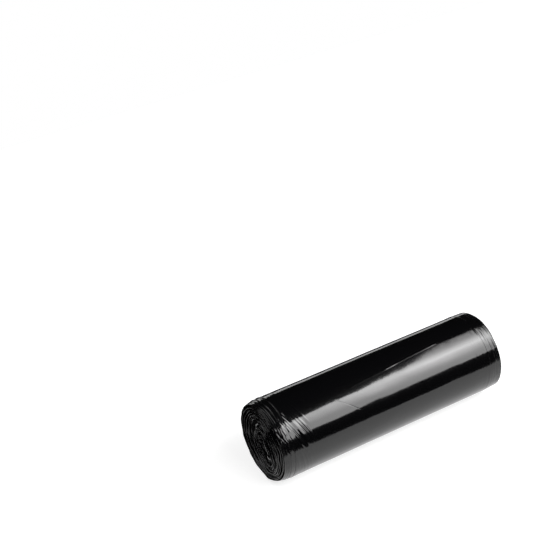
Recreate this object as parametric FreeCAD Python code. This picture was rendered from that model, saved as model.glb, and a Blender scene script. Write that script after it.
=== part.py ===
# A coreless roll of refuse sacks lying on its side.
# The sacks are one long web of film, folded lengthwise and wound on itself. The roll was wound on a
# mandrel that is gone, so its middle has collapsed into a slot, and its soft side is flat where it lies.
# The roll's axis is X, Z is up, and the origin is on the flat spot under the middle of the roll.
import FreeCAD
import Part
import math
import os

Vector = FreeCAD.Vector

# Driving dimensions, in millimetres and degrees.
roll_length = 250.0        # width of the folded web
roll_diameter = 79.0       # as wound, before it settles
slump = 1.5                # how far the roll has sunk onto its flat spot
heel_radius = 23.0         # tighter curve on each side of the flat spot

# The outermost wraps end short of the roll's ends, each a little further back than the one below.
wrap_thickness = 0.7
wrap_setbacks = (10.0, 6.0, 2.5)
rim_thickness = 1.7        # packed wraps between those edges and the first open gap

# The free edge of the last sack, low on the back of the roll.
lap_thickness = 0.5
lap_angle = -35.0          # where the edge lies, from the level of the roll's centre
lap_blend = 30.0           # arc over which the lap merges with the wrap below

# The turns that show at the ends, each a bunch of many thin layers of film.
turn_count = 8
turn_gap = 0.36            # open share of each turn's pitch
turn_start = 62.0          # angle of the outer end of the spiral gap
turn_depth = 13.0          # how far the gaps reach in
arcs_per_turn = 8
arcs_per_bunch = 7
bunch_setbacks = (0.0, 1.6, 0.5, 2.4, 1.2, 3.2, 1.8, 3.6)

# The collapsed core: a slanting slot with the web's inner end folded across it in an S.
core_y = -4.1
core_z = 34.0
core_half_length = 14.5
core_half_width = 4.0
core_tilt = 40.0
core_depth = 40.0
tongue_thickness = 2.0
tongue_shift = 1.0         # across the slot, which is wider on the side where the winding ends
tongue_radius = 4.8        # middle of the film in each bend of the S
tongue_lean = -20.0        # direction of the S at its middle, from the slot's
tongue_hook = 120.0        # direction of the S where it meets the slot's walls
tongue_setback = 3.0

half_length = roll_length / 2
crown_radius = roll_diameter / 2
crown_z = crown_radius - slump
flat_half_width = math.sqrt(slump * (2 * crown_radius - slump - 2 * heel_radius))
heel_reach = math.hypot(flat_half_width, crown_z - heel_radius)
heel_direction = (flat_half_width / heel_reach, (heel_radius - crown_z) / heel_reach)
rim_inset = len(wrap_setbacks) * wrap_thickness
winding_inset = rim_inset + rim_thickness


def place(y, z):
    """A point of the cross-section at the roll's near end."""
    return Vector(-half_length, y, z)


def around(y, z, radius, angle):
    """The point at an angle in degrees on a circle in the cross-section."""
    turned = math.radians(angle)
    return place(y + radius * math.cos(turned), z + radius * math.sin(turned))


def outline(inset):
    """The roll's closed outline, moved inwards: flat spot, two heels and the crown, all tangent."""
    heel = heel_radius - inset
    crown = crown_radius - inset
    tangent_angle = math.degrees(math.atan2(heel_direction[1], heel_direction[0]))
    middle_angle = (tangent_angle - 90.0) / 2
    flat = Part.LineSegment(place(-flat_half_width, inset), place(flat_half_width, inset))
    right_heel = Part.Arc(
        place(flat_half_width, inset),
        around(flat_half_width, heel_radius, heel, middle_angle),
        around(flat_half_width, heel_radius, heel, tangent_angle),
    )
    top = Part.Arc(
        around(0.0, crown_z, crown, tangent_angle),
        around(0.0, crown_z, crown, 90.0),
        around(0.0, crown_z, crown, 180.0 - tangent_angle),
    )
    left_heel = Part.Arc(
        around(-flat_half_width, heel_radius, heel, 180.0 - tangent_angle),
        around(-flat_half_width, heel_radius, heel, 180.0 - middle_angle),
        place(-flat_half_width, inset),
    )
    return Part.Wire([curve.toShape() for curve in (flat, right_heel, top, left_heel)])


def along_roll(face, start, end=half_length):
    """A cross-section made solid between two distances from the near end."""
    return face.translated(Vector(start, 0, 0)).extrude(Vector(end - start, 0, 0))


def ray_to_circle(angle, y, z, radius):
    """Distance from the core's middle to a circle in the cross-section, along an angle in radians."""
    along = (core_y - y) * math.cos(angle) + (core_z - z) * math.sin(angle)
    apart = (core_y - y) ** 2 + (core_z - z) ** 2 - radius ** 2
    return -along + math.sqrt(along ** 2 - apart)


def outline_reach(angle, inset):
    """Distance from the core's middle to the outline moved inwards, along an angle in radians."""
    if math.sin(angle) < 0:
        to_flat = (inset - core_z) / math.sin(angle)
        y = core_y + to_flat * math.cos(angle)
        if abs(y) <= flat_half_width:
            return to_flat
    reach = ray_to_circle(angle, 0.0, crown_z, crown_radius - inset)
    y = core_y + reach * math.cos(angle)
    z = core_z + reach * math.sin(angle) - crown_z
    if z * heel_direction[0] < abs(y) * heel_direction[1]:
        side = math.copysign(flat_half_width, y)
        reach = ray_to_circle(angle, side, heel_radius, heel_radius - inset)
    return reach


def slot_point(along, across):
    """A point given along and across the collapsed slot."""
    turned = math.radians(core_tilt)
    y = core_y + along * math.cos(turned) - across * math.sin(turned)
    z = core_z + along * math.sin(turned) + across * math.cos(turned)
    return place(y, z)


def winding_point(turn, inward):
    """A point of the winding, from the outline at turn 0 to the slot at the last turn.

    A point moved inward is the same way round, that many turns closer to the core."""
    angle = math.radians(turn_start) + 2 * math.pi * turn
    turned = angle - math.radians(core_tilt)
    share = (turn + inward) / turn_count
    reach = outline_reach(angle, winding_inset)
    outer = place(core_y + reach * math.cos(angle), core_z + reach * math.sin(angle))
    inner = slot_point(core_half_length * math.cos(turned), core_half_width * math.sin(turned))
    return outer * (1 - share) + inner * share


def winding_curve(first, last, inward=0.0):
    """The winding between two turns, as a row of arcs."""
    count = max(1, round((last - first) * arcs_per_turn))
    turns = [first + (last - first) * i / (2 * count) for i in range(2 * count + 1)]
    points = [winding_point(turn, inward) for turn in turns]
    return [Part.Arc(*points[i:i + 3]).toShape() for i in range(0, 2 * count, 2)]


def line(start, end):
    """A straight edge between two points."""
    return Part.LineSegment(start, end).toShape()


def winding_hollow(first):
    """The face inside one whole turn of the winding, which closes with a short radial step."""
    step = line(winding_point(first + 1, 0.0), winding_point(first, 0.0))
    return Part.Face(Part.Wire([*winding_curve(first, first + 1), step]))


def bunch_face(first, last):
    """The section of one bunch of layers, between the gap outside it and the gap inside it."""
    edges = [
        *winding_curve(first, last, turn_gap),
        line(winding_point(last, turn_gap), winding_point(last, 1.0)),
        *winding_curve(first, last, 1.0),
        line(winding_point(first, 1.0), winding_point(first, turn_gap)),
    ]
    return Part.Face(Part.Wire(Part.__sortEdges__(edges)))


def bunches():
    """All the bunches of the winding. Each stands out at the ends to its own length."""
    made = []
    last_arc = (turn_count - 1) * arcs_per_turn
    for index, first_arc in enumerate(range(0, last_arc, arcs_per_bunch)):
        first = first_arc / arcs_per_turn
        last = min(first_arc + arcs_per_bunch, last_arc) / arcs_per_turn
        setback = bunch_setbacks[index % len(bunch_setbacks)]
        made.append(along_roll(bunch_face(first, last), setback, turn_depth))
    return made


def tongue_point(radius, direction, side):
    """A point of one bend of the S, by the direction in which the film runs there."""
    lean = math.radians(tongue_lean)
    turned = math.radians(direction)
    along = radius * math.sin(turned) - tongue_radius * math.sin(lean)
    across = tongue_radius * math.cos(lean) - radius * math.cos(turned)
    return slot_point(side * along, side * across + tongue_shift)


def tongue():
    """The web's inner end, folded across the slot in an S, which leaves an eye on each side."""
    half = tongue_thickness / 2
    middle = (tongue_lean + tongue_hook) / 2
    edges = []
    for side in (1, -1):
        for radius in (tongue_radius - half, tongue_radius + half):
            points = [tongue_point(radius, way, side) for way in (tongue_lean, middle, tongue_hook)]
            edges.append(Part.Arc(*points).toShape())
        start = tongue_point(tongue_radius - half, tongue_hook, side)
        end = tongue_point(tongue_radius + half, tongue_hook, side)
        edges.append(line(start, end))
    return Part.Face(Part.Wire(Part.__sortEdges__(edges)))


def lap():
    """The last wrap's overlap: thickest at its free edge, and merging with the roll above it."""
    outer = crown_radius + lap_thickness
    turn = math.cos(math.radians(lap_blend))
    radius = (outer ** 2 + crown_radius ** 2 - 2 * crown_radius * outer * turn)
    radius /= 2 * (crown_radius - outer * turn)
    blend_angle = lap_angle + lap_blend
    centre = around(0.0, crown_z, crown_radius - radius, blend_angle)
    free_edge = around(0.0, crown_z, outer, lap_angle)
    merge = around(0.0, crown_z, crown_radius, blend_angle)
    chord_angle = math.degrees(math.atan2(free_edge.z - centre.z, free_edge.y - centre.y))
    middle = around(centre.y, centre.z, radius, (chord_angle + blend_angle) / 2)
    root = around(0.0, crown_z, crown_radius - wrap_thickness / 2, lap_angle)
    inner_middle = around(0.0, crown_z, crown_radius - wrap_thickness / 2, lap_angle + lap_blend / 2)
    inner_end = around(0.0, crown_z, crown_radius - wrap_thickness / 2, blend_angle)
    wire = Part.Wire([
        Part.Arc(free_edge, middle, merge).toShape(),
        line(merge, inner_end),
        Part.Arc(inner_end, inner_middle, root).toShape(),
        line(root, free_edge),
    ])
    return along_roll(Part.Face(wire), wrap_setbacks[0])


def film_roll():
    """The whole roll as one solid: half of it, and its mirror image."""
    rim_face = Part.Face(outline(rim_inset))
    hollow = along_roll(winding_hollow(0.0), 0.0, turn_depth)
    rim = along_roll(rim_face, 0.0, turn_depth).cut(hollow)
    slot = along_roll(winding_hollow(turn_count - 1), turn_depth, core_depth)
    half = along_roll(rim_face, turn_depth).cut(slot)
    half = half.fuse([rim, *bunches()])
    half = half.fuse(along_roll(tongue(), tongue_setback, core_depth))
    bore = along_roll(Part.Face(outline(rim_inset + wrap_thickness)), 0.0)
    for index, setback in reversed(list(enumerate(wrap_setbacks))):
        wrap = along_roll(Part.Face(outline(index * wrap_thickness)), setback)
        half = half.fuse(wrap.cut(bore))
    half = half.fuse(lap()).removeSplitter()
    other_half = half.mirror(Vector(0, 0, 0), Vector(1, 0, 0))
    return half.fuse(other_half).removeSplitter()


def main():
    """Writes the roll as one closed solid."""
    os.makedirs("parts", exist_ok=True)
    roll = film_roll()
    if len(roll.Solids) != 1 or not roll.isValid():
        raise ValueError("the roll has to be one valid solid")
    roll.Solids[0].exportStep("parts/film_roll.step")
    box = roll.BoundBox
    print("volume", round(roll.Volume), "mm3, box", box.XLength, box.YLength, box.ZLength, box.ZMin)


main()
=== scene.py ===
"""Dresses a coreless roll of black refuse sacks in its film, and sets it on a white table.

The roll's axis is X, Z is up, and angles round it are from +Y towards Z. The near end is the one at -X.
Every film piece starts as a flat sheet, a grid, that is rolled up: its rows follow each other round the
roll and its columns across the web. Lengths are in metres, except in the film's tables, where they are
in millimetres.
"""

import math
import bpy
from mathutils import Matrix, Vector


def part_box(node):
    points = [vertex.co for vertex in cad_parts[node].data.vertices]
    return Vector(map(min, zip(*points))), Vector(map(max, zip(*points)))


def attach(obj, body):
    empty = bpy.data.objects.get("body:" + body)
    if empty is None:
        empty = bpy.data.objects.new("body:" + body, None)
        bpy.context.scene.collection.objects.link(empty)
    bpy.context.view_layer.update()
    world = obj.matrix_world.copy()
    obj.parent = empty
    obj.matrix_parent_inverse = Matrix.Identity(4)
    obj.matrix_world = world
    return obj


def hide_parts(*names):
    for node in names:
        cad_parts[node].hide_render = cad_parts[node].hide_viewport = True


bl_info = {
    "name": "Refuse sack roll",
    "version": (1, 0, 0),
    "blender": (4, 5, 0),
    "location": "View3D > Sidebar > Sack roll",
    "description": "Builds the film of a roll of refuse sacks around its packed model",
    "category": "Add Mesh",
}

import bpy
from mathutils import Vector, noise

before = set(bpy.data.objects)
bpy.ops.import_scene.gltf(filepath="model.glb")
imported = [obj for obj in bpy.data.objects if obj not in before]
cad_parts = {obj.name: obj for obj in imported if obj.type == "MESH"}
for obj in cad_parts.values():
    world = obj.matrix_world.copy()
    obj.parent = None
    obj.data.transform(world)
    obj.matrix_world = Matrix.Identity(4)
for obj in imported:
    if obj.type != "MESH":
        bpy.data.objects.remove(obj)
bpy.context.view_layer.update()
ROLL_LOW, ROLL_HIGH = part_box("film_roll")
MM = 0.001
# Points of a sheet that lie closer than this are merged, which closes its seam.
SEAM_GAP = 0.000002
# Each seed reads the noise this much further on, along its three axes.
SEED_STEPS = (17.3, -5.1, 3.7)

# The film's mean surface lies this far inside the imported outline, which leaves room for its relief.
FILM_INSET = 0.2 * MM
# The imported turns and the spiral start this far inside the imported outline.
PACKED_INSET = 1.8 * MM
SPIRAL_INSET = 2.0 * MM
# The cover's folded edge: its distance from the end of the roll, and its thickness.
COVER_EDGE = 13.4 * MM
COVER_LIP = 0.32 * MM
# The wraps' folded edges: their thickness, and at each end their distances from it and their depths under
# the cover, in millimetres.
WRAP_LIP = 0.4 * MM
WRAP_EDGES = {
    "near": ((8.1, 0.2), (5.3, 0.4), (3.4, 0.6), (1.8, 0.8)),
    "far": ((7.6, 0.15), (4.4, 0.25), (2.4, 0.35), (0.9, 0.45)),
}
# Rings round the film beside each end: distance from the end, height and width, in millimetres.
FILM_RINGS = {
    "near": ((16.8, 0.06, 0.9), (21.0, 0.04, 1.0)),
    "far": ((12.5, 0.09, 2.4), (18.5, 0.05, 1.6)),
}
# Slow waves of the film: seed, length along the roll and height, both in millimetres, and waviness round it.
FILM_WAVES = ((11, 75, 0.10, 1.2), (12, 38, 0.10, 3.0), (14, 15, 0.045, 5.0), (13, 110, 0.03, 9.0))
# Ribbons of film that wind in from the outside: name, seed, place within a turn's pitch, share of the pitch
# that it fills, setback from the end and how much that varies in millimetres, and the turn where it starts.
RIBBONS = (
    ("turns", 0, 0.28, 0.46, 0.4, 2.2, 0.0),
    ("folds", 10, 0.66, 0.16, 0.9, 3.0, 0.1),
    ("loose_film", 20, 0.88, 0.07, 1.2, 3.6, 0.2),
)
RIBBON_ROWS = 1500
# Ribbons of the web's inner end: name, scale, and half the thickness and the setback in millimetres.
CURLS = (("web_end", 1.0, 0.45, 2.2), ("web_end_fold", 0.72, 0.2, 3.4))
CURL_ROWS = 360
# Where the ends' film is most tangled, above the core and towards the front, and how wide that place is.
TANGLE_PLACE = (-9 * MM, 50 * MM)
TANGLE_SIZE = 9 * MM
# A soft bulge on the front, a little left of the middle: its place along the roll and up the front from the
# level of the crown's centre, its reach both ways, and its height, in millimetres.
BULGE = (-14, 31.7, 17, 5, 0.13)
# Folds pressed in when the sack lay flat: a short slanting one, and two long shallow ones above it.
# Each has its two ends, as a distance along the roll in millimetres and an angle up from the level of the
# crown's centre in degrees, and its width and height in millimetres.
PRESSED_FOLDS = (
    ((-57, 63), (-36, 36.5), 0.6, -0.10),
    ((-42, 69), (20, 75.5), 1.9, 0.07),
    ((-2, 73.5), (70, 80.5), 1.5, 0.10),
)
FILM_MATERIAL = "blown_polythene_film_black"

# The stage, in metres: the table's corners, the flags with their places and sizes, and the lights.
TABLE_LOW = (-0.5, -0.4)
TABLE_HIGH = (1.0, 0.65)
STUDIO_RADIUS = 4.0
FLAGS = (
    ("end_flag", (-0.31, 0.16, 0.004), (0.34, 0.34)),
    ("rim_flag", (0.20, 0.135, 0.004), (0.72, 0.16)),
)
ROLL_CENTRE = (0.0, 0.0, 0.039)
SOFTBOX_PLACE = (0.72, -0.82, 0.86)
SOFTBOX_CORNERS = (
    (-0.86, -0.03),
    (-0.50, 1.05),
    (-0.06, 0.63),
    (0.30, 0.65),
    (1.24, 1.20),
    (0.04, -0.345),
)
# Each lamp's name, place, target, width, height and radiance.
LAMPS = (
    ("left_fill", (-0.64, 0.45, 0.93), (0.0, 0.45, 0.039), 1.3, 0.3, 3.5),
    ("overhead_fill", (-0.42, 0.55, 1.1), ROLL_CENTRE, 1.1, 1.1, 0.4),
)
# How much light the world gives, where 1 is white.
WORLD_LIGHT = 0.02
WHITE = (1.0, 1.0, 1.0, 1.0)
# The camera was fitted to the roll's outline.
CAMERA_PLACE = (-0.60028, -0.78344, 0.92587)
CAMERA_TARGET = (0.04786, 0.25050, 0.0)
CAMERA_LENS = 91.15


class SackRollSizes(bpy.types.PropertyGroup):
    """Sizes of the wound web."""

    length: bpy.props.FloatProperty(
        name="Length",
        description="Width of the folded web",
        default=ROLL_HIGH[0] - ROLL_LOW[0],
        unit="LENGTH",
    )
    radius: bpy.props.FloatProperty(
        name="Radius",
        description="Radius of the roll as wound",
        default=(ROLL_HIGH[1] - ROLL_LOW[1]) / 2,
        unit="LENGTH",
    )
    slump: bpy.props.FloatProperty(
        name="Slump",
        description="How far the roll has sunk onto its flat spot",
        default=(ROLL_HIGH[1] - ROLL_LOW[1]) - (ROLL_HIGH[2] - ROLL_LOW[2]),
        unit="LENGTH",
    )
    heel_radius: bpy.props.FloatProperty(
        name="Heel radius",
        description="Curve on each side of the flat spot",
        default=0.023,
        unit="LENGTH",
    )
    turns: bpy.props.IntProperty(
        name="Turns",
        description="Turns of film that show at each end",
        default=11,
        min=3,
    )
    turn_depth: bpy.props.FloatProperty(
        name="Turn depth",
        description="How far the gaps between the turns reach in",
        default=0.0125,
        unit="LENGTH",
    )
    core_depth: bpy.props.FloatProperty(
        name="Core depth",
        description="How far the collapsed core reaches in",
        default=0.04,
        unit="LENGTH",
    )
    core_y: bpy.props.FloatProperty(
        name="Core Y",
        description="Place of the collapsed core across the roll",
        default=-0.0041,
        unit="LENGTH",
    )
    core_z: bpy.props.FloatProperty(
        name="Core Z",
        description="Height of the collapsed core",
        default=0.034,
        unit="LENGTH",
    )
    core_tilt: bpy.props.FloatProperty(
        name="Core tilt",
        description="Slant of the collapsed core's slot",
        default=math.radians(40),
        subtype="ANGLE",
    )


class SackFilmFinish(bpy.types.PropertyGroup):
    """Look of the film."""

    colour: bpy.props.StringProperty(
        name="Film colour",
        description="Black of the film, as an sRGB hex value",
        default="070708",
    )
    roughness: bpy.props.FloatProperty(
        name="Film roughness",
        description="Roughness of the blown film's surface",
        default=0.11,
        min=0.0,
        max=1.0,
    )


def srgb_hex(value):
    """A linear colour with alpha from an sRGB hex value."""
    channels = [int(value[i:i + 2], 16) / 255 for i in (0, 2, 4)]
    linear = [c / 12.92 if c <= 0.04045 else ((c + 0.055) / 1.055) ** 2.4 for c in channels]
    return (*linear, 1.0)


def smooth(low, high, value):
    """0 below low, 1 above high, and a smooth step between them."""
    share = min(max((value - low) / (high - low), 0.0), 1.0)
    return share * share * (3 - 2 * share)


def facing(angle, degrees):
    """1 where the roll faces a way given in degrees, and less on both sides, down to 0 a quarter turn off."""
    return max(0.0, math.cos(angle - math.radians(degrees)))


def wave(seed, *place):
    """Smooth noise from -1 to 1 at a place of three numbers."""
    return noise.noise(Vector([number + seed * step for number, step in zip(place, SEED_STEPS)]))


def wave_round(seed, angle, waviness, further=0.0):
    """Smooth noise from -1 to 1 that closes on itself round the roll."""
    return wave(seed, waviness * math.cos(angle), waviness * math.sin(angle), further)


def wave_along(seed, angle, waviness, x, length):
    """Smooth noise from -1 to 1 of a given wavelength along the roll, closed round it."""
    return wave(seed, x / length, waviness * math.cos(angle), waviness * math.sin(angle))


def wave_across(seed, y, z, length, further=0.0):
    """Smooth noise from -1 to 1 of a given wavelength across the end of the roll."""
    return wave(seed, y / length, z / length, further)


def to_circle(cos, sin, y, z, radius):
    """Distance from a point inside a circle about the origin to the circle, along a direction."""
    along = y * cos + z * sin
    return -along + math.sqrt(along ** 2 - y ** 2 - z ** 2 + radius ** 2)


class Section:
    """The outline across the roll: the crown, two tighter heels and the flat spot, all tangent."""

    def __init__(self, sizes):
        self.radius = sizes.radius
        self.centre_z = sizes.radius - sizes.slump
        self.heel = sizes.heel_radius
        self.flat = math.sqrt(sizes.slump * (2 * sizes.radius - sizes.slump - 2 * sizes.heel_radius))

    def reach(self, angle, y, z, inset):
        """Distance from a point inside to the outline moved inwards, along an angle."""
        cos, sin = math.cos(angle), math.sin(angle)
        if sin < 0:
            to_flat = (inset - z) / sin
            if abs(y + to_flat * cos) <= self.flat:
                return to_flat
        reach = to_circle(cos, sin, y, z - self.centre_z, self.radius - inset)
        out_y = y + reach * cos
        out_z = z + reach * sin - self.centre_z
        if out_z * self.flat < abs(out_y) * (self.heel - self.centre_z):
            side = math.copysign(self.flat, out_y)
            reach = to_circle(cos, sin, y - side, z - self.heel, self.heel - inset)
        return reach

    def place(self, x, angle, inset):
        """The point of the outline moved inwards, on a ray from the crown's centre."""
        reach = self.reach(angle, 0.0, self.centre_z, inset)
        return x, reach * math.cos(angle), self.centre_z + reach * math.sin(angle)


class Winding:
    """The spiral of turns, from the round outline at turn 0 to the collapsed core at the last."""

    # The angle of its outer end, and half the length of the core's slot.
    start = math.radians(62)
    slot_half = 15 * MM
    # The turn that has room beside the core, the one that is broad there, and how many turns each reaches.
    roomy_turn, roomy_spread = 7.4, 1.4
    broad_turn, broad_spread = 6.9, 0.7

    def __init__(self, sizes, section, seed):
        self.section = section
        self.seed = seed
        self.turns = sizes.turns
        self.y, self.z = sizes.core_y, sizes.core_z
        self.tilt = sizes.core_tilt

    def angle(self, turn):
        """The angle round the roll at a turn."""
        return self.start + 2 * math.pi * turn

    def slot(self, along, across):
        """A point given along and across the collapsed slot."""
        cos, sin = math.cos(self.tilt), math.sin(self.tilt)
        return self.y + along * cos - across * sin, self.z + along * sin + across * cos

    def core(self, angle):
        """The innermost turn: a slot with a wide eye at each end, pinched between them."""
        wide, pinch = 6.2, 2.6
        turned = angle - self.tilt
        across = math.sin(turned) * (wide - pinch * math.sin(turned) ** 2) * MM
        return self.slot(self.slot_half * math.cos(turned), across)

    def slack(self, turn):
        """How far the film has wandered inward at a turn, in turns, because it is wound loosely."""
        angle = self.angle(turn)
        free = smooth(0.0, 1.3, turn) * smooth(self.turns, self.turns - 1.0, turn)
        wander = 0.5 * wave_round(self.seed, angle, 1.1, turn * 0.55)
        wander += 0.2 * wave_round(self.seed + 1, angle, 2.9, turn * 0.8)
        wander *= 1 - 0.7 * self.broad(turn)
        # Beside the core, the turns draw away from one turn on both sides and leave it room.
        past = (turn - self.roomy_turn) / self.roomy_spread
        return free * (wander + 2.5 * self.beside(turn) * past * math.exp(-past ** 2))

    def front(self, turn):
        """1 on the front, where the turns shrank back from the wraps round them, and 0 at the back."""
        return facing(self.angle(turn), 165)

    def beside(self, turn):
        """1 on the side where the core sank away from the turns round it, and 0 on the others."""
        return facing(self.angle(turn), 28) ** 2

    def broad(self, turn):
        """1 where a bunch of film lies broad and smooth, beside the sunken core, and 0 elsewhere."""
        return self.beside(turn) * math.exp(-((turn - self.broad_turn) / self.broad_spread) ** 2)

    def place(self, turn):
        """The winding's point at a turn."""
        angle = self.angle(turn)
        share = min((turn + self.slack(turn)) / self.turns, 1.0)
        inset = SPIRAL_INSET + 1.4 * MM * self.front(turn)
        reach = self.section.reach(angle, self.y, self.z, inset)
        core_y, core_z = self.core(angle)
        y = (1 - share) * (self.y + reach * math.cos(angle)) + share * core_y
        z = (1 - share) * (self.z + reach * math.sin(angle)) + share * core_z
        return y, z

    def between(self, turn, share):
        """The point a share of the way from a turn to the next one inside it, and their distance."""
        outer = self.place(turn)
        inner = self.place(min(turn + 1, self.turns))
        y = outer[0] + (inner[0] - outer[0]) * share
        z = outer[1] + (inner[1] - outer[1]) * share
        return y, z, math.dist(outer, inner)


def puckers(x, angle, from_end):
    """Depth in millimetres of the slanting gathers beside the near end. The far end has faint ones."""
    far = x > 0
    seed = 1 if far else 2
    lean = 0.0 if far else 15 * MM * math.sin(angle - math.radians(135))
    # They fade in from 40 to 26 mm from the end, and out to half their depth close to it. They are deepest
    # high on the front, where the film is gathered most.
    fade = smooth(40 * MM, 26 * MM, from_end) * (1 - 0.5 * smooth(9 * MM, 5 * MM, from_end))
    gathered = 0.2 + 1.05 * facing(angle, 144) ** 18
    depth = 0.52 * gathered * wave_along(seed, angle, 1.6, x - lean, 1.8 * MM)
    depth += 0.03 * wave_along(seed + 2, angle, 5.0, x - lean, 1.0 * MM)
    return fade * depth * (0.1 if far else 1.0)


def film_relief(sizes, x, angle):
    """How far the outer film lies below its mean surface, as its tension and folds leave it."""
    from_end = sizes.length / 2 - abs(x)
    end, seed = ("far", 1) if x > 0 else ("near", 2)
    relief = puckers(x, angle, from_end)
    drift = 0.8 * MM * wave_round(seed + 4, angle, 1.3)
    strength = 0.7 + 0.6 * wave_round(seed + 6, angle, 2.0)
    for place, height, width in FILM_RINGS[end]:
        off = (from_end - place * MM - drift) / (width * MM)
        relief -= height * math.exp(-off ** 2) * strength
    for number, length, height, waviness in FILM_WAVES:
        relief += height * wave_along(number, angle, waviness, x, length * MM)
    place, up, length, width, height = BULGE
    arc = sizes.radius * (math.pi - angle % (2 * math.pi))
    along = (x - place * MM) / (length * MM)
    across = (arc - up * MM) / (width * MM)
    relief -= height * math.exp(-along ** 2 - across ** 2)
    return MM * relief


def edge_bead(height, angle, past, length):
    """Height of the bead behind a folded edge, which climbs until 1 past the edge and then runs out.

    It is lower on the front, where the film is drawn flat."""
    profile = max(past, 0.0) if past < 1 else math.exp(-((past - 1) / length) ** 2)
    return height * (1 - 0.8 * facing(angle, 140) ** 4) * profile


def shoulder(distance):
    """How far the wraps sink towards the end of the roll, where little film lies under them."""
    start, deepest = 10.5 * MM, 1.5 * MM
    return 1.1 * MM * smooth(start, deepest, distance)


def lay_sheet(name, rows, columns):
    """A flat grid with a number of rows round the roll and columns across the web."""
    bpy.ops.object.select_all(action="DESELECT")
    bpy.ops.mesh.primitive_grid_add(x_subdivisions=rows - 1, y_subdivisions=columns - 1, size=1.0)
    sheet = bpy.context.object
    sheet.name = name
    sheet.data.name = name
    return sheet


def roll_up(sheet, rows, columns, where):
    """Moves each point of a flat grid to the place that its row and column have on the roll."""
    for vertex in sheet.data.vertices:
        row = round((vertex.co.x + 0.5) * (rows - 1))
        column = round((vertex.co.y + 0.5) * (columns - 1))
        vertex.co = where(row, column)
    sheet.data.update()


def finish_film(sheet, material, flip=False):
    """Closes the sheet's seam, flips faces that point inwards, and gives it its finish and its body."""
    bpy.ops.object.select_all(action="DESELECT")
    sheet.select_set(True)
    bpy.context.view_layer.objects.active = sheet
    bpy.ops.object.mode_set(mode="EDIT")
    bpy.ops.mesh.select_all(action="SELECT")
    bpy.ops.mesh.remove_doubles(threshold=SEAM_GAP)
    if flip:
        bpy.ops.mesh.flip_normals()
    bpy.ops.object.mode_set(mode="OBJECT")
    bpy.ops.object.shade_smooth()
    sheet.data.materials.clear()
    sheet.data.materials.append(material)
    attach(sheet, "root")


def lip_profile(edge, inner, thickness, spacing):
    """Columns of a wrap from its middle to its edge, as distances from the end and depths.

    The edge is a fold: the film turns in on a small radius and goes back under."""
    columns = []
    place = inner
    while place > edge + thickness:
        columns.append((place, 0.0))
        place -= spacing(place)
    half = thickness / 2
    steps = 6
    for step in range(steps + 1):
        turned = math.pi * step / steps
        columns.append((edge + half - half * math.sin(turned), half - half * math.cos(turned)))
    columns.append((edge + 3 * half, thickness))
    return columns


def build_cover(sizes, section, material):
    """The last sack's film, over the whole roll, with its free edge low on the back."""
    lap = math.radians(-35)
    blend = math.radians(30)
    overlap = math.radians(6)
    step = 0.42 * MM
    tucked = 0.15 * MM
    rows = 330

    def spacing(place):
        # Fine beside the edge, where the film is most creased, and 2 mm along the middle.
        return (0.3 + 0.2 * smooth(17 * MM, 19 * MM, place) + 1.5 * smooth(36 * MM, 50 * MM, place)) * MM

    half = lip_profile(COVER_EDGE, sizes.length / 2, COVER_LIP, spacing)
    near = [(distance - sizes.length / 2, depth) for distance, depth in reversed(half)]
    far = [(-x, depth) for x, depth in reversed(near)]
    columns = near + far[1:]
    angles = [lap + (2 * math.pi + overlap) * row / (rows - 2) for row in range(rows - 1)]

    def where(row, column):
        x, depth = columns[column]
        angle = angles[max(row - 1, 0)]
        # The first row turns the free edge in under the lap.
        rise = step * (1 - smooth(0, blend, angle - lap)) if row > 0 else -tucked
        side = math.copysign(1, x)
        from_end = sizes.length / 2 - abs(x)
        # The folded edge wanders by up to half a millimetre, and the film runs straight further in.
        ragged = 0.45 * wave_round(side, angle, 1.7) + 0.12 * wave_round(3 + side, angle, 7.0)
        ragged *= smooth(28 * MM, 15 * MM, from_end)
        height = 0.1 + (0.34 * facing(angle, 75) ** 0.5 if x < 0 else 0.0)
        rise += edge_bead(height * MM, angle, (from_end - COVER_EDGE) / (0.95 * MM), 2.0)
        relief = film_relief(sizes, x, angle) + FILM_INSET
        return section.place(x + side * ragged * MM, angle, depth + relief - rise)

    cover = lay_sheet("film_cover", rows, len(columns))
    roll_up(cover, rows, len(columns), where)
    finish_film(cover, material)
    return cover


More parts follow.
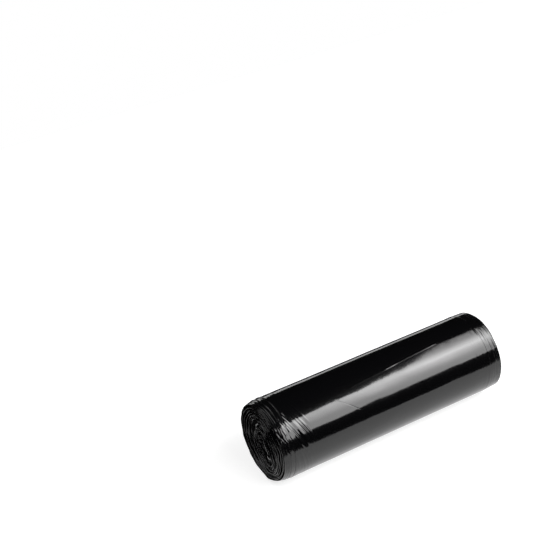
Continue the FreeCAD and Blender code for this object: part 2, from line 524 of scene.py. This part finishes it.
def build_wraps(sizes, section, material, side, end):
    """The wraps under the last one, whose folded edges step out towards one end."""
    rows = 300
    step = 0.4 * MM
    # How far each goes in under the others, in millimetres, and its share of the sinking at the end.
    reach = 7.0
    sunk = 0.1 if side > 0 else 1.0
    for index, (edge, inset) in enumerate(WRAP_EDGES[end]):
        columns = lip_profile(edge * MM, (edge + reach) * MM, WRAP_LIP, lambda place: step)
        seed = 20 + index + (10 if side > 0 else 0)

        def where(row, column):
            distance, depth = columns[column]
            angle = 2 * math.pi * row / (rows - 1)
            near_edge = smooth((edge + 5) * MM, edge * MM, distance)
            # The edges wander by about a millimetre. The near ones step back on the front, and have beads.
            ragged = 1.1 * wave_round(seed, angle, 1.5) + 0.35 * wave_round(seed + 1, angle, 6.0)
            height = 0.0
            if side < 0:
                ragged += facing(angle, 170)
                height = 0.24 * facing(angle, 80) ** 0.5
            from_end = max(distance + ragged * near_edge * MM, 0.1 * MM)
            x = side * (sizes.length / 2 - from_end)
            # Ripples of about a tenth of a millimetre run across each edge, and finer ones between them.
            ripple = 0.10 * wave_along(seed + 2, angle, 2.5, x, 1.3 * MM)
            ripple += 0.10 * wave_round(seed + 3, angle, 8.0)
            ripple += 0.05 * wave_along(seed + 4, angle, 17.0, x, 0.9 * MM)
            relief = film_relief(sizes, x, angle) + FILM_INSET + sunk * shoulder(from_end)
            bead = edge_bead(height * MM, angle, (distance - edge * MM) / (0.8 * MM), 1.2)
            return section.place(x, angle, inset * MM + depth + relief + ripple * near_edge * MM - bead)

        wrap = lay_sheet("%s_wrap_%d" % (end, index + 1), rows, len(columns))
        roll_up(wrap, rows, len(columns), where)
        finish_film(wrap, material, side < 0)


def turn_profile(depth):
    """Columns of a bunch of film: out along its outer wall, over its fold and back.

    Each has its distance from the fold, how round the fold is there, and its place across."""
    wall = [depth * share for share in (1.0, 0.75, 0.52, 0.35, 0.22, 0.12, 0.05)]
    steps = 8
    fold = [math.pi * step / steps for step in range(1, steps)]
    columns = [(distance, 1.0, 1.0) for distance in wall]
    columns += [(0.0, 1 - math.sin(turned), math.cos(turned)) for turned in fold]
    columns += [(distance, 1.0, -1.0) for distance in reversed(wall)]
    return columns


def ribbon_frame(seed, path, turn, first, last):
    """A ribbon at one turn: its point, the way outwards, half its thickness, its setback and its ruffle."""
    ahead = 0.002
    y, z, half, back, loose = path(turn)
    ahead_y, ahead_z = path(turn + ahead)[:2]
    run = math.hypot(ahead_y - y, ahead_z - z)
    out_y, out_z = (ahead_z - z) / run, -(ahead_y - y) / run
    # Its slow bends, its fine creases, and how strongly it is crumpled at this place.
    own = wave_across(seed, y, z, 7 * MM, turn * 1.7)
    fine = wave_across(seed + 1, y, z, 2.2 * MM, turn * 2.3)
    tangled = math.exp(-(math.dist((y, z), TANGLE_PLACE) / TANGLE_SIZE) ** 2)
    crumpled = 0.15 + 0.45 * smooth(0.0, 0.4, wave_across(seed + 2, y, z, 13 * MM)) + 0.35 * tangled
    crumpled *= loose
    # The ribbon runs out to a thin edge at both its ends.
    taper = smooth(0.0, 0.05, turn - first) * smooth(0.0, 0.05, last - turn)
    half *= max(taper, 0.05) * (1 + 0.25 * own)
    back = max(back + (0.8 * own + 0.55 * crumpled * fine) * MM, 0.15 * MM)
    ruffle = (0.25 * loose * own + 0.42 * crumpled * fine) * MM
    return y, z, out_y, out_z, half, back, ruffle


def build_ribbon(sizes, material, side, name, seed, path, span, rows):
    """One long folded sheet that stands on edge along a path across the end of the roll.

    The path gives, at each turn, a point, half the sheet's thickness, its setback, and how loosely
    it is crumpled."""
    first, last = span
    columns = turn_profile(sizes.turn_depth + 1.5 * MM)
    turns = [first + (last - first) * row / (rows - 1) for row in range(rows)]
    frames = [ribbon_frame(seed, path, turn, first, last) for turn in turns]

    def where(row, column):
        y, z, out_y, out_z, half, back, ruffle = frames[row]
        distance, round_off, across = columns[column]
        from_end = back + distance + half * round_off
        shift = half * across + ruffle * smooth(6 * MM, 0.0, distance)
        shift += 0.14 * MM * wave_across(seed + 3, y, z, 1.8 * MM, from_end / (2.5 * MM))
        return side * (sizes.length / 2 - from_end), y + out_y * shift, z + out_z * shift

    sheet = lay_sheet(name, rows, len(columns))
    roll_up(sheet, rows, len(columns), where)
    finish_film(sheet, material, side < 0)


def turn_path(winding, seed, nudge, fill, back, spread):
    """The path of film that winds in from the outside, filling a share of each turn's pitch.

    Its setback and hollows are in millimetres, and its wander is a share of the pitch."""
    def path(turn):
        angle = winding.angle(turn)
        broad = winding.broad(turn)
        # The film wanders within its pitch, and its thickness and its setback vary along it.
        wander = 0.07 * wave_round(seed, angle, 2.3, turn * 1.3)
        filled = fill * (1 + 0.4 * wave_round(seed + 1, angle, 1.6, turn * 1.1))
        reach = 0.5 + 0.5 * wave_round(seed + 2, angle, 1.2, turn * 0.9)
        hollow = 1.6 * smooth(1.5, 5.0, turn) * facing(angle, 30)
        if nudge < 0.5:
            # The turns themselves lie in the outer half of each pitch. Beside the core they lie broad.
            filled += 0.35 * broad
            wander += 0.17 * broad
        else:
            # The film between them lies deeper in some places, which leaves dark crevices.
            hollow += 5.0 * broad + 3.5 * smooth(4.0, 2.6, turn)
            hollow += 3.0 * smooth(-0.05, 0.25, wave_round(winding.seed, angle, 1.3, turn * 0.6))
        hollow += 2.6 * winding.front(turn) * smooth(3.2, 1.2, turn)
        setback = back + spread * reach * smooth(0.3, 2.0, turn) + hollow
        loose = (0.3 + 0.7 * smooth(2.0, 4.5, turn)) * (1 - 0.85 * broad)
        y, z, pitch = winding.between(turn, nudge + wander)
        return y, z, pitch * filled / 2, setback * MM, loose
    return path


def curl_path(winding, shrink, half, back):
    """The path of the web's inner end: an S whose ends curl up in the core's two eyes.

    From the middle, each half dips across the slot for a share of its length, and then curls up about
    the middle of its eye. Lengths are in millimetres along and across the slot."""
    dip_share, dip_along, dip_across = 0.3, 7.7, 4.1
    eye, widest, narrowing = 9.2, 4.35, 3.0
    curl_start, curl_turn = -110, 560

    def path(turn):
        scale = math.copysign(shrink * MM, turn)
        share = abs(turn)
        if share < dip_share:
            along = dip_along * share / dip_share
            across = -dip_across * math.sin(math.pi / 2 * share / dip_share)
        else:
            curled = (share - dip_share) / (1 - dip_share)
            turned = math.radians(curl_start + curl_turn * curled)
            radius = widest - narrowing * curled
            along, across = eye + radius * math.cos(turned), radius * math.sin(turned)
        y, z = winding.slot(along * scale, across * scale)
        depth = back + 1.3 * wave_across(winding.seed + 9, y, z, 5 * MM, turn)
        return y, z, half * MM, depth * MM, 1.0
    return path


def build_turns(sizes, winding, material, side, end):
    """The turns at one end, and the folds and loose film between them."""
    for name, offset, nudge, fill, back, spread, first in RIBBONS:
        seed = winding.seed + offset
        path = turn_path(winding, seed, nudge, fill, back, spread)
        span = (first, sizes.turns - 0.5)
        build_ribbon(sizes, material, side, "%s_%s" % (end, name), seed + 3, path, span, RIBBON_ROWS)


def build_web_end(sizes, winding, material, side, end):
    """The web's inner end at one end of the roll, with a fold in it."""
    seed = winding.seed + 33
    for name, scale, half, back in CURLS:
        path = curl_path(winding, scale, half, back)
        build_ribbon(sizes, material, side, "%s_%s" % (end, name), seed, path, (-1.0, 1.0), CURL_ROWS)


def build_middle(sizes, section, winding, material, side, end):
    """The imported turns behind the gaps, with the collapsed core going further in.

    Each station has its share of the way to the core, or more where the core closes, and its place."""
    rows = 181
    half = sizes.length / 2
    rim = half - 9 * MM
    wall = half - sizes.turn_depth
    brink = wall - 2 * MM
    deep = half - sizes.core_depth
    closed_half = 13 * MM
    stations = (
        (0.0, rim),
        (0.0, wall),
        (0.9, wall),
        (1.0, brink),
        (1.0, deep),
        (1.4, deep),
    )

    def where(row, column):
        share, x = stations[column]
        angle = 2 * math.pi * row / (rows - 1)
        reach = section.reach(angle, winding.y, winding.z, PACKED_INSET)
        core_y, core_z = winding.core(angle)
        if share > 1.0:
            core_y, core_z = winding.slot(closed_half * math.cos(angle - winding.tilt), 0.0)
            share = 1.0
        y = (1 - share) * (winding.y + reach * math.cos(angle)) + share * core_y
        z = (1 - share) * (winding.z + reach * math.sin(angle)) + share * core_z
        return side * x, y, z

    middle = lay_sheet("%s_packed_turns" % end, rows, len(stations))
    roll_up(middle, rows, len(stations), where)
    finish_film(middle, material, side < 0)


def add_node(tree, kind, settings=None, links=None):
    """Adds a shader node with its settings, and links its inputs to other nodes' outputs."""
    node = tree.nodes.new(kind)
    for key, value in (settings or {}).items():
        if isinstance(key, int) or key in node.inputs:
            node.inputs[key].default_value = value
        else:
            setattr(node, key, value)
    for key, source in (links or {}).items():
        tree.links.new(source, node.inputs[key])
    return node


def new_material(name):
    """An empty node material with its output node."""
    material = bpy.data.materials.new(name)
    material.use_nodes = True
    material.node_tree.nodes.clear()
    output = material.node_tree.nodes.new("ShaderNodeOutputMaterial")
    return material, material.node_tree, output


def pressed_fold(tree, position, section, start, end, width, height):
    """Height in millimetres of a fold pressed into the film, straight between two places on the front."""
    ends = []
    for x, rise in (start, end):
        turned = math.radians(rise)
        up = section.centre_z + section.radius * math.sin(turned)
        ends.append(Vector((x * MM, -section.radius * math.cos(turned), up)))
    middle = (ends[0] + ends[1]) / 2
    outward = middle - Vector((middle.x, 0, section.centre_z))
    across = (ends[1] - ends[0]).cross(outward).normalized()
    reach = (ends[1] - ends[0]).length / 2
    moved = add_node(tree, "ShaderNodeVectorMath", {"operation": "SUBTRACT", 1: middle}, {0: position})
    off = add_node(tree, "ShaderNodeVectorMath", {"operation": "DOT_PRODUCT", 1: across},
                   {0: moved.outputs["Vector"]})
    apart = add_node(tree, "ShaderNodeMath", {"operation": "ABSOLUTE"}, {0: off.outputs["Value"]})
    ridge = add_node(tree, "ShaderNodeMapRange",
                     {"interpolation_type": "SMOOTHSTEP", "From Max": width * MM, "To Min": height,
                      "To Max": 0.0},
                     {"Value": apart.outputs["Value"]})
    away = add_node(tree, "ShaderNodeVectorMath", {"operation": "LENGTH"}, {0: moved.outputs["Vector"]})
    fade = add_node(tree, "ShaderNodeMapRange",
                    {"interpolation_type": "SMOOTHSTEP", "From Min": 0.75 * reach, "From Max": reach,
                     "To Min": 1.0, "To Max": 0.0}, {"Value": away.outputs["Value"]})
    fold = add_node(tree, "ShaderNodeMath", {"operation": "MULTIPLY"},
                    {0: ridge.outputs["Result"], 1: fade.outputs["Result"]})
    return fold.outputs["Value"]


def film_material(finish, section):
    """Blown low-density polythene, carbon black: mirror-like gloss that its fine creases break up."""
    material, tree, output = new_material(FILM_MATERIAL)
    position = add_node(tree, "ShaderNodeTexCoord").outputs["Object"]
    # Gels and haze a millimetre or two across, and soft dents of about a centimetre. The bump's heights
    # are in millimetres.
    haze = add_node(tree, "ShaderNodeTexNoise", {"Scale": 1 / (1.6 * MM), "Detail": 3.0},
                    {"Vector": position})
    dents = add_node(tree, "ShaderNodeTexNoise", {"Scale": 1 / (9 * MM), "Detail": 1.0},
                     {"Vector": position})
    # Die lines run the way that the film was blown, which is round the roll.
    along = add_node(tree, "ShaderNodeMapping", {"Scale": (1 / (1.1 * MM), 1 / (40 * MM), 1 / (40 * MM))},
                     {"Vector": position})
    lines = add_node(tree, "ShaderNodeTexNoise", {"Scale": 1.0, "Detail": 1.0},
                     {"Vector": along.outputs["Vector"]})
    height = add_node(tree, "ShaderNodeMath", {"operation": "MULTIPLY", 1: 0.015},
                      {0: haze.outputs["Fac"]})
    for source, depth in ((dents.outputs["Fac"], 0.04), (lines.outputs["Fac"], 0.006)):
        height = add_node(tree, "ShaderNodeMath", {"operation": "MULTIPLY_ADD", 1: depth},
                          {0: source, 2: height.outputs["Value"]})
    for fold in PRESSED_FOLDS:
        height = add_node(tree, "ShaderNodeMath", {"operation": "ADD"},
                          {0: pressed_fold(tree, position, section, *fold), 1: height.outputs["Value"]})
    bump = add_node(tree, "ShaderNodeBump", {"Strength": 1.0, "Distance": MM},
                    {"Height": height.outputs["Value"]})
    film = add_node(tree, "ShaderNodeBsdfPrincipled",
                    {"Base Color": srgb_hex(finish.colour), "Roughness": finish.roughness, "IOR": 1.5},
                    {"Normal": bump.outputs["Normal"]})
    tree.links.new(film.outputs["BSDF"], output.inputs["Surface"])
    return material


def seen_rays(tree):
    """1 for rays from the camera, in reflections and through clear things, and 0 for light itself."""
    path = add_node(tree, "ShaderNodeLightPath")
    seen = add_node(tree, "ShaderNodeMath", {"operation": "MAXIMUM"},
                    {0: path.outputs["Is Camera Ray"], 1: path.outputs["Is Glossy Ray"]})
    both = add_node(tree, "ShaderNodeMath", {"operation": "MAXIMUM"},
                    {0: seen.outputs["Value"], 1: path.outputs["Is Transmission Ray"]})
    return both.outputs["Value"]


def table_material():
    """Painted table, matt white: it shows white where it is lit, and keeps a soft shadow."""
    material, tree, output = new_material("matt_white_table")
    paint = add_node(tree, "ShaderNodeBsdfDiffuse", {"Color": srgb_hex("BCBCBC")})
    level = add_node(tree, "ShaderNodeMath", {"operation": "MULTIPLY", 1: 0.74}, {0: seen_rays(tree)})
    glow = add_node(tree, "ShaderNodeEmission", {"Color": WHITE},
                    {"Strength": level.outputs["Value"]})
    both = add_node(tree, "ShaderNodeAddShader", None, {0: paint.outputs[0], 1: glow.outputs[0]})
    tree.links.new(both.outputs[0], output.inputs["Surface"])
    return material


def softbox_material():
    """White diffuser cloth of the softbox, lit from behind and brightest before its lamp.

    The lamp brightens it over a reach in metres, about a place that is given in shares of that reach."""
    reach = 0.75
    lamp_x, lamp_y = 0.387, 0.573
    dim, bright = 5.3, 16.6
    material, tree, output = new_material("white_diffuser_cloth")
    position = add_node(tree, "ShaderNodeTexCoord").outputs["Object"]
    centred = add_node(tree, "ShaderNodeMapping",
                       {"Scale": (1 / reach,) * 3, "Location": (-lamp_x, -lamp_y, 0.0)},
                       {"Vector": position})
    hot = add_node(tree, "ShaderNodeTexGradient", {"gradient_type": "QUADRATIC_SPHERE"},
                   {"Vector": centred.outputs["Vector"]})
    level = add_node(tree, "ShaderNodeMapRange", {"To Min": dim, "To Max": bright},
                     {"Value": hot.outputs["Fac"]})
    glow = add_node(tree, "ShaderNodeEmission", {"Color": WHITE},
                    {"Strength": level.outputs["Result"]})
    tree.links.new(glow.outputs[0], output.inputs["Surface"])
    return material


def felt_material():
    """Black felt of the studio's walls and ceiling and of the flags: dark and without shine."""
    material, tree, output = new_material("black_studio_felt")
    felt = add_node(tree, "ShaderNodeBsdfDiffuse", {"Color": srgb_hex("202020")})
    tree.links.new(felt.outputs[0], output.inputs["Surface"])
    return material


def hang_felt(thing, felt):
    """Makes a thing dark felt that only shows in reflections and takes no light from the table."""
    thing.data.materials.append(felt)
    thing.visible_camera = False
    thing.visible_diffuse = False
    thing.visible_shadow = False


def aim(thing, target):
    """Turns a lamp or the camera towards a point."""
    way = Vector(target) - thing.location
    thing.rotation_euler = way.to_track_quat("-Z", "Y").to_euler()


def lay_table():
    """The table under the roll."""
    bpy.ops.mesh.primitive_plane_add(size=1.0, location=(0, 0, 0))
    table = bpy.context.object
    table.name = "table"
    for vertex in table.data.vertices:
        vertex.co.x = TABLE_HIGH[0] if vertex.co.x > 0 else TABLE_LOW[0]
        vertex.co.y = TABLE_HIGH[1] if vertex.co.y > 0 else TABLE_LOW[1]
    table.data.materials.append(table_material())


def hang_studio():
    """The dark studio round the table, and the flags of its felt that lie just above the table.

    The flags keep the near end and the rim dark, which would mirror the table."""
    felt = felt_material()
    bpy.ops.mesh.primitive_uv_sphere_add(segments=48, ring_count=24, radius=STUDIO_RADIUS,
                                         location=(0, 0, 0))
    surround = bpy.context.object
    surround.name = "dark_studio"
    hang_felt(surround, felt)
    for name, place, size in FLAGS:
        bpy.ops.mesh.primitive_plane_add(size=1.0, location=place)
        flag = bpy.context.object
        flag.name = name
        flag.scale = (*size, 1.0)
        hang_felt(flag, felt)


def add_softbox():
    """The key light: a large slanting softbox to the right of the camera, turned towards the roll."""
    bpy.ops.mesh.primitive_circle_add(vertices=len(SOFTBOX_CORNERS), radius=0.5, fill_type="NGON",
                                      location=SOFTBOX_PLACE)
    softbox = bpy.context.object
    softbox.name = "key_softbox"
    for vertex, (side, up) in zip(softbox.data.vertices, SOFTBOX_CORNERS):
        vertex.co = (side, up, 0.0)
    softbox.data.update()
    softbox.data.materials.append(softbox_material())
    softbox.visible_camera = False
    softbox.visible_shadow = False
    aim(softbox, ROLL_CENTRE)


def add_lamp(name, place, target, width, height, radiance):
    """A rectangular lamp of a given radiance, turned towards its target."""
    bpy.ops.object.light_add(type="AREA", location=place)
    lamp = bpy.context.object
    lamp.name = name
    lamp.data.shape = "RECTANGLE"
    lamp.data.size = width
    lamp.data.size_y = height
    lamp.data.energy = radiance * math.pi * width * height
    aim(lamp, target)


def light_world(scene):
    """The world: it lights the roll weakly, and shows white to the camera and in reflections."""
    world = scene.world or bpy.data.worlds.new("studio")
    scene.world = world
    world.use_nodes = True
    tree = world.node_tree
    tree.nodes.clear()
    output = tree.nodes.new("ShaderNodeOutputWorld")
    level = add_node(tree, "ShaderNodeMapRange", {"To Min": WORLD_LIGHT, "To Max": 1.0},
                     {"Value": seen_rays(tree)})
    sky = add_node(tree, "ShaderNodeBackground", {"Color": WHITE}, {"Strength": level.outputs["Result"]})
    tree.links.new(sky.outputs[0], output.inputs["Surface"])


def add_camera(scene):
    """The camera at the photograph's viewing angle."""
    bpy.ops.object.camera_add(location=CAMERA_PLACE)
    camera = bpy.context.object
    camera.name = "photo_camera"
    camera.data.lens = CAMERA_LENS
    camera.data.sensor_width = 36.0
    camera.data.clip_start = 0.01
    aim(camera, CAMERA_TARGET)
    scene.camera = camera


class SACKROLL_OT_film(bpy.types.Operator):
    """Build the roll's film"""

    bl_idname = "sackroll.film"
    bl_label = "Film"

    def execute(self, context):
        sizes = context.scene.sack_roll_sizes
        section = Section(sizes)
        material = film_material(context.scene.sack_film_finish, section)
        cover = build_cover(sizes, section, material)
        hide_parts("film_roll")
        return {"FINISHED"}


class SACKROLL_OT_ends(bpy.types.Operator):
    """Build the turns that show at both ends"""

    bl_idname = "sackroll.ends"
    bl_label = "Ends"

    def execute(self, context):
        sizes = context.scene.sack_roll_sizes
        section = Section(sizes)
        material = bpy.data.materials[FILM_MATERIAL]
        for side, end in ((-1, "near"), (1, "far")):
            winding = Winding(sizes, section, 40 + 10 * side)
            build_wraps(sizes, section, material, side, end)
            build_middle(sizes, section, winding, material, side, end)
            build_turns(sizes, winding, material, side, end)
            build_web_end(sizes, winding, material, side, end)
        return {"FINISHED"}


class SACKROLL_OT_stage(bpy.types.Operator):
    """Set up the table, the dark studio, the softbox, the lamps and the camera"""

    bl_idname = "sackroll.stage"
    bl_label = "Stage"

    def execute(self, context):
        bpy.ops.object.select_all(action="DESELECT")
        lay_table()
        hang_studio()
        add_softbox()
        for lamp in LAMPS:
            add_lamp(*lamp)
        light_world(context.scene)
        add_camera(context.scene)
        context.scene.view_settings.view_transform = "Standard"
        return {"FINISHED"}


class SACKROLL_PT_panel(bpy.types.Panel):
    """Lists the roll's sizes and its building steps"""

    bl_idname = "SACKROLL_PT_panel"
    bl_label = "Sack roll"
    bl_space_type = "VIEW_3D"
    bl_region_type = "UI"
    bl_category = "Sack roll"

    def draw(self, context):
        layout = self.layout
        sizes = context.scene.sack_roll_sizes
        for name in sizes.bl_rna.properties.keys():
            if name not in ("rna_type", "name"):
                layout.prop(sizes, name)
        finish = context.scene.sack_film_finish
        layout.prop(finish, "colour")
        layout.prop(finish, "roughness")
        for operator in (SACKROLL_OT_film, SACKROLL_OT_ends, SACKROLL_OT_stage):
            layout.operator(operator.bl_idname)


CLASSES = (
    SackRollSizes,
    SackFilmFinish,
    SACKROLL_OT_film,
    SACKROLL_OT_ends,
    SACKROLL_OT_stage,
    SACKROLL_PT_panel,
)


def register():
    for made in CLASSES:
        bpy.utils.register_class(made)
    bpy.types.Scene.sack_roll_sizes = bpy.props.PointerProperty(type=SackRollSizes)
    bpy.types.Scene.sack_film_finish = bpy.props.PointerProperty(type=SackFilmFinish)


def unregister():
    del bpy.types.Scene.sack_film_finish
    del bpy.types.Scene.sack_roll_sizes
    for made in reversed(CLASSES):
        bpy.utils.unregister_class(made)


def main():
    register()
    bpy.ops.sackroll.film()
    bpy.ops.sackroll.ends()
    bpy.ops.sackroll.stage()


if __name__ == "__main__":
    main()
